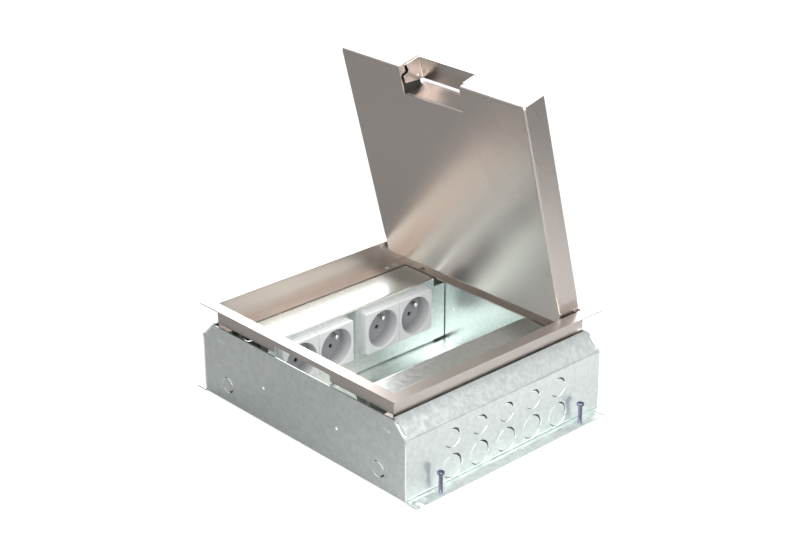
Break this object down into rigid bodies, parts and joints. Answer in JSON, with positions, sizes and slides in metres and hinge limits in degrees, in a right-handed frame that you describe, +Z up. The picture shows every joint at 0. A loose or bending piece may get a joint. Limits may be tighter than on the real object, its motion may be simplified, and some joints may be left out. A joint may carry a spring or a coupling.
{
  "type": "floor socket box",
  "caption": "Sheet steel floor box with an open hinged lid tray, a trim rim, two inner carriers with round plug sockets, knockouts and levelling screws.",
  "frame": {"origin": "centre of the bottom plate's underside, under the middle of the frame", "axes": "+Z up, +Y towards the hinge side, +X towards the right side wall, seen from the front"},
  "size_m": [0.3184, 0.2694, 0.3315],
  "materials": {
    "galvanised_steel": "hot-dip galvanised sheet, dull with a faint spangle",
    "stainless_steel": "fine grained stainless sheet, satin",
    "zinc_steel": "bright zinc plated",
    "white_plastic": "smooth white",
    "grey_plastic": "matt grey",
    "brass": "bare brass",
    "nickelled_brass": "nickel plated"
  },
  "bodies": {
    "box": {"base_tray": "galvanised_steel", "blanking_plate_front": "white_plastic", "blanking_plate_rear": "white_plastic", "carrier_screws": "zinc_steel", "contact_sleeves": "brass", "earth_nut": "zinc_steel", "earth_pins": "nickelled_brass", "earth_stud": "brass", "earth_washer": "zinc_steel", "frame_bracket_front_left": "galvanised_steel", "frame_bracket_front_right": "galvanised_steel", "frame_bracket_rear_left": "galvanised_steel", "frame_bracket_rear_right": "galvanised_steel", "frame_screws": "zinc_steel", "hinge_pin_left": "stainless_steel", "hinge_pin_right": "stainless_steel", "hinge_washers": "zinc_steel", "lid_rest_ring": "stainless_steel", "module_back_1": "grey_plastic", "module_back_2": "grey_plastic", "module_back_3": "grey_plastic", "module_back_4": "grey_plastic", "ring_rivets": "zinc_steel", "side_wall_left": "galvanised_steel", "side_wall_right": "galvanised_steel", "socket_carrier_left": "galvanised_steel", "socket_carrier_right": "galvanised_steel", "socket_module_1": "white_plastic", "socket_module_2": "white_plastic", "socket_module_3": "white_plastic", "socket_module_4": "white_plastic", "support_frame_front": "white_plastic", "support_frame_rear": "white_plastic", "terminal_screws": "zinc_steel", "trim_frame": "stainless_steel"},
    "lid": {"lid_tray": "stainless_steel", "outlet_wall": "stainless_steel", "pivot_bracket_right": "stainless_steel", "pivot_bracket_left": "stainless_steel", "lid_rivets": "zinc_steel", "flap_pin_right": "stainless_steel", "flap_pin_left": "stainless_steel", "flap_spacers": "zinc_steel"},
    "flap": {"cable_flap": "stainless_steel"},
    "screw_front_right": {"levelling_screw_front_right": "zinc_steel"},
    "screw_front_left": {"levelling_screw_front_left": "zinc_steel"},
    "screw_rear_right": {"levelling_screw_rear_right": "zinc_steel"},
    "screw_rear_left": {"levelling_screw_rear_left": "zinc_steel"}
  },
  "joints": [
    {"name": "lid_hinge", "type": "hinge", "parent": "box", "child": "lid", "pos_m": [0, 0.1194, 0.0987], "axis": [-1, 0, 0], "range_deg": [-75.35, 19.6]},
    {"name": "flap_hinge", "type": "hinge", "parent": "lid", "child": "flap", "pos_m": [0, 0.06045, 0.31234], "axis": [-1, 0, 0], "range_deg": [0, 95]},
    {"name": "screw_front_right_turn", "type": "hinge", "parent": "box", "child": "screw_front_right", "pos_m": [0.154, -0.093, 0], "axis": [0, 0, 1], "continuous": true},
    {"name": "screw_front_left_turn", "type": "hinge", "parent": "box", "child": "screw_front_left", "pos_m": [-0.154, -0.093, 0], "axis": [0, 0, 1], "continuous": true},
    {"name": "screw_rear_right_turn", "type": "hinge", "parent": "box", "child": "screw_rear_right", "pos_m": [0.154, 0.093, 0], "axis": [0, 0, 1], "continuous": true},
    {"name": "screw_rear_left_turn", "type": "hinge", "parent": "box", "child": "screw_rear_left", "pos_m": [-0.154, 0.093, 0], "axis": [0, 0, 1], "continuous": true}
  ]
}
